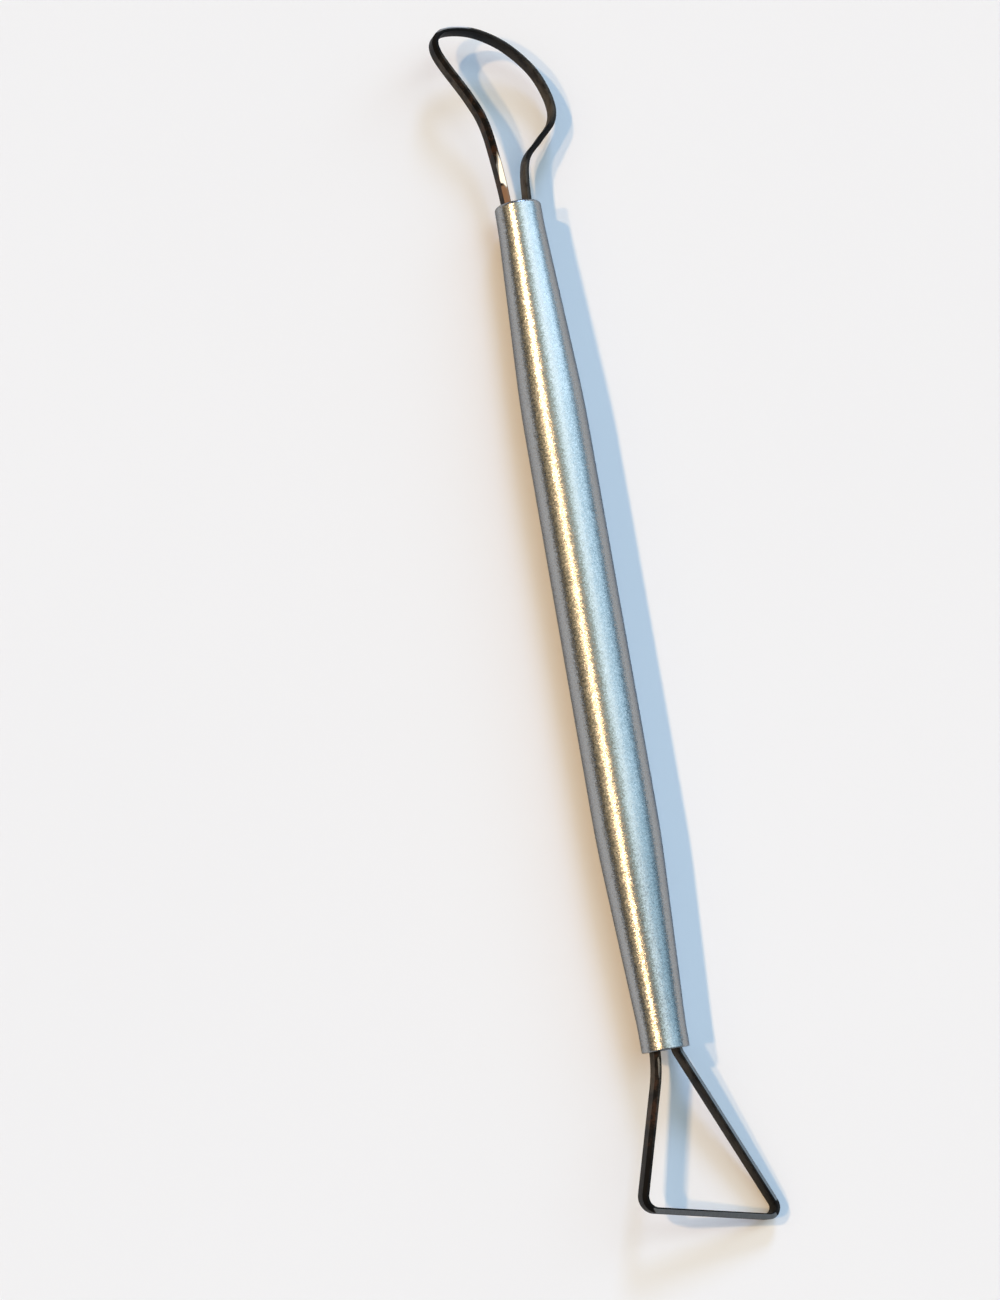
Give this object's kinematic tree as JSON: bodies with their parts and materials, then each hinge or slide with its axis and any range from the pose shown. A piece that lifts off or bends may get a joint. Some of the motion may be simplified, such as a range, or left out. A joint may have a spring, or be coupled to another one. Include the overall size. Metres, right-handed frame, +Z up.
{
  "type": "double-ended ribbon trimming tool",
  "caption": "Pottery trimming tool: tapered aluminium handle with a leaf-shaped ribbon loop at one end and a triangular one at the other.",
  "frame": {"origin": "on the table that the tool lies on, under the middle of its bounding box", "axes": "+Y along the handle towards the leaf-shaped loop, +X to the right of the tool seen from above, +Z up from the table"},
  "size_m": [0.025, 0.2074, 0.011],
  "materials": {
    "handle_aluminium": "satin, fine pearl grain",
    "black_steel": "black oxide, with one edge ground bright",
    "potting_resin": "cured epoxy"
  },
  "bodies": {
    "root": {"handle_tube": "handle_aluminium", "leaf_loop": "black_steel", "triangle_loop": "black_steel", "leaf_resin": "potting_resin", "triangle_resin": "potting_resin"}
  },
  "joints": []
}
